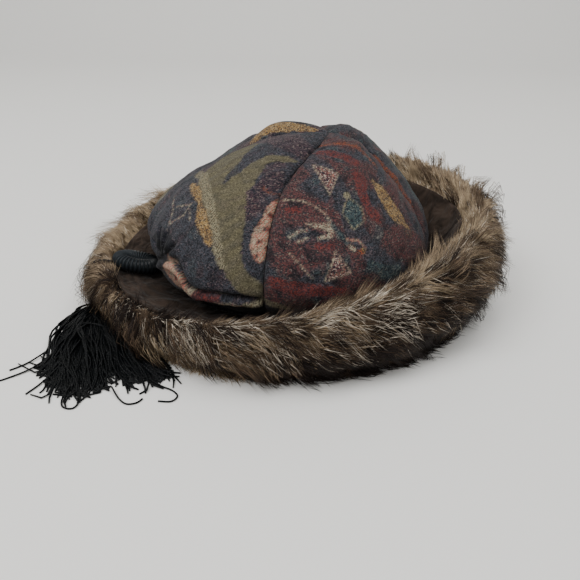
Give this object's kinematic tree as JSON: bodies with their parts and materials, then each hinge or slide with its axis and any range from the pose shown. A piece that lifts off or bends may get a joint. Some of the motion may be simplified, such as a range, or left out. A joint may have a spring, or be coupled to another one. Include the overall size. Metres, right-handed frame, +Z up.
{
  "type": "fez hat",
  "caption": "Soft gored cap with a wide upturned fur brim, cloth facing, wound knot and tassel; worn on the head for warmth.",
  "frame": {"origin": "on the surface that the hat lies on, under the middle of the outline of brim and tassel", "axes": "+Z up from the surface to the top of the crown; +X to the right and +Y to the back of someone who faces the hat with its tassel in front at their left"},
  "size_m": [0.3454, 0.3406, 0.1276],
  "materials": {
    "tapestry": "matt figured jacquard weave in slate, olive, burgundy and gold",
    "facing_cloth": "brown brushed cloth, softly wrinkled",
    "fur": "long fur, tan undercoat under dark guard hairs with pale tips",
    "thread": "black satin thread"
  },
  "bodies": {
    "root": {"gore_front_left": "tapestry", "gore_front_right": "tapestry", "gore_back_right": "tapestry", "gore_back_left": "tapestry", "brim_facing": "facing_cloth", "fur_brim": "fur", "knot": "thread", "tassel": "thread", "tassel_cord": "thread"}
  },
  "joints": []
}
